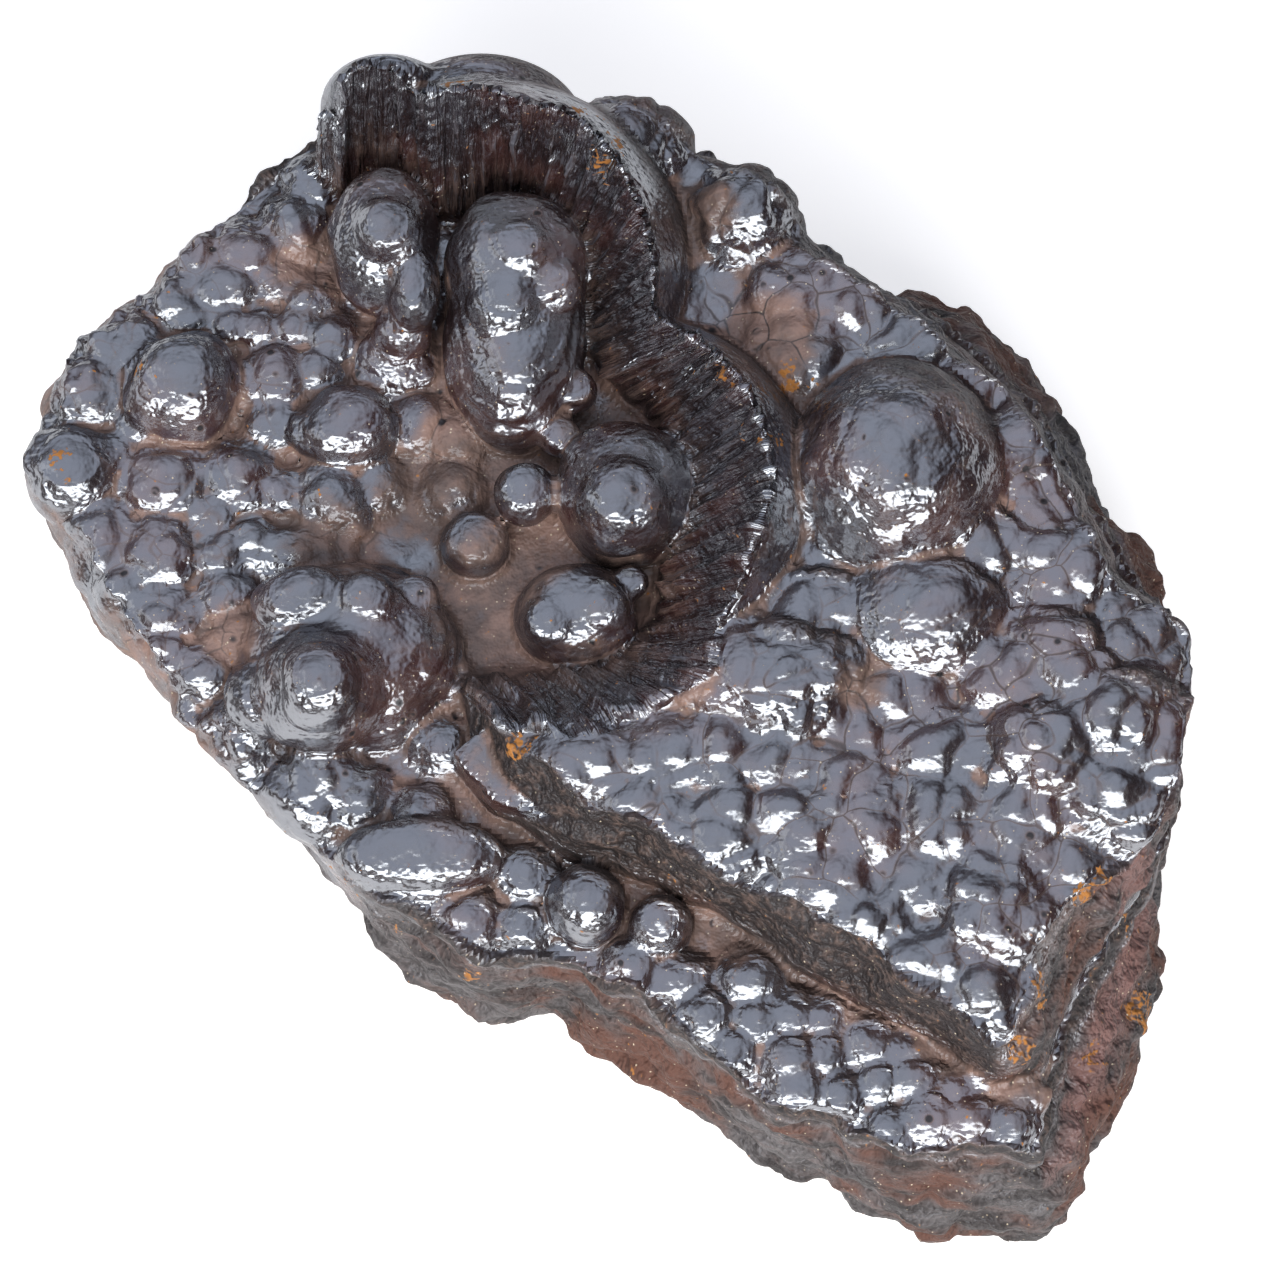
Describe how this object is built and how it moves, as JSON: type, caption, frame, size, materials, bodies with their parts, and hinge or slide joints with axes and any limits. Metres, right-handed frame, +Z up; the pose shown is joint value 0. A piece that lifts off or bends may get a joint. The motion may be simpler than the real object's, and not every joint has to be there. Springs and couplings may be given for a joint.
{
  "type": "botryoidal hematite specimen",
  "caption": "Hand specimen of botryoidal hematite: packed metallic grey lumps, big domes and two broken-open shells with columnar walls, on a rough ironstone base cut flat to rest on.",
  "frame": {"origin": "bottom centre of the specimen's box, on the flat resting face", "axes": "+Z up from the resting face, through the botryoidal top; +X to the right and +Y away as the specimen is normally viewed, with the two broken shells at the back left and the diagonal break towards the front"},
  "size_m": [0.0944, 0.094, 0.0366],
  "materials": {
    "hematite": "natural metallic slate-grey botryoidal crust, brown dust in the grooves, red-brown ironstone on the broken sides"
  },
  "bodies": {
    "root": {"hematite_specimen": "hematite"}
  },
  "joints": []
}
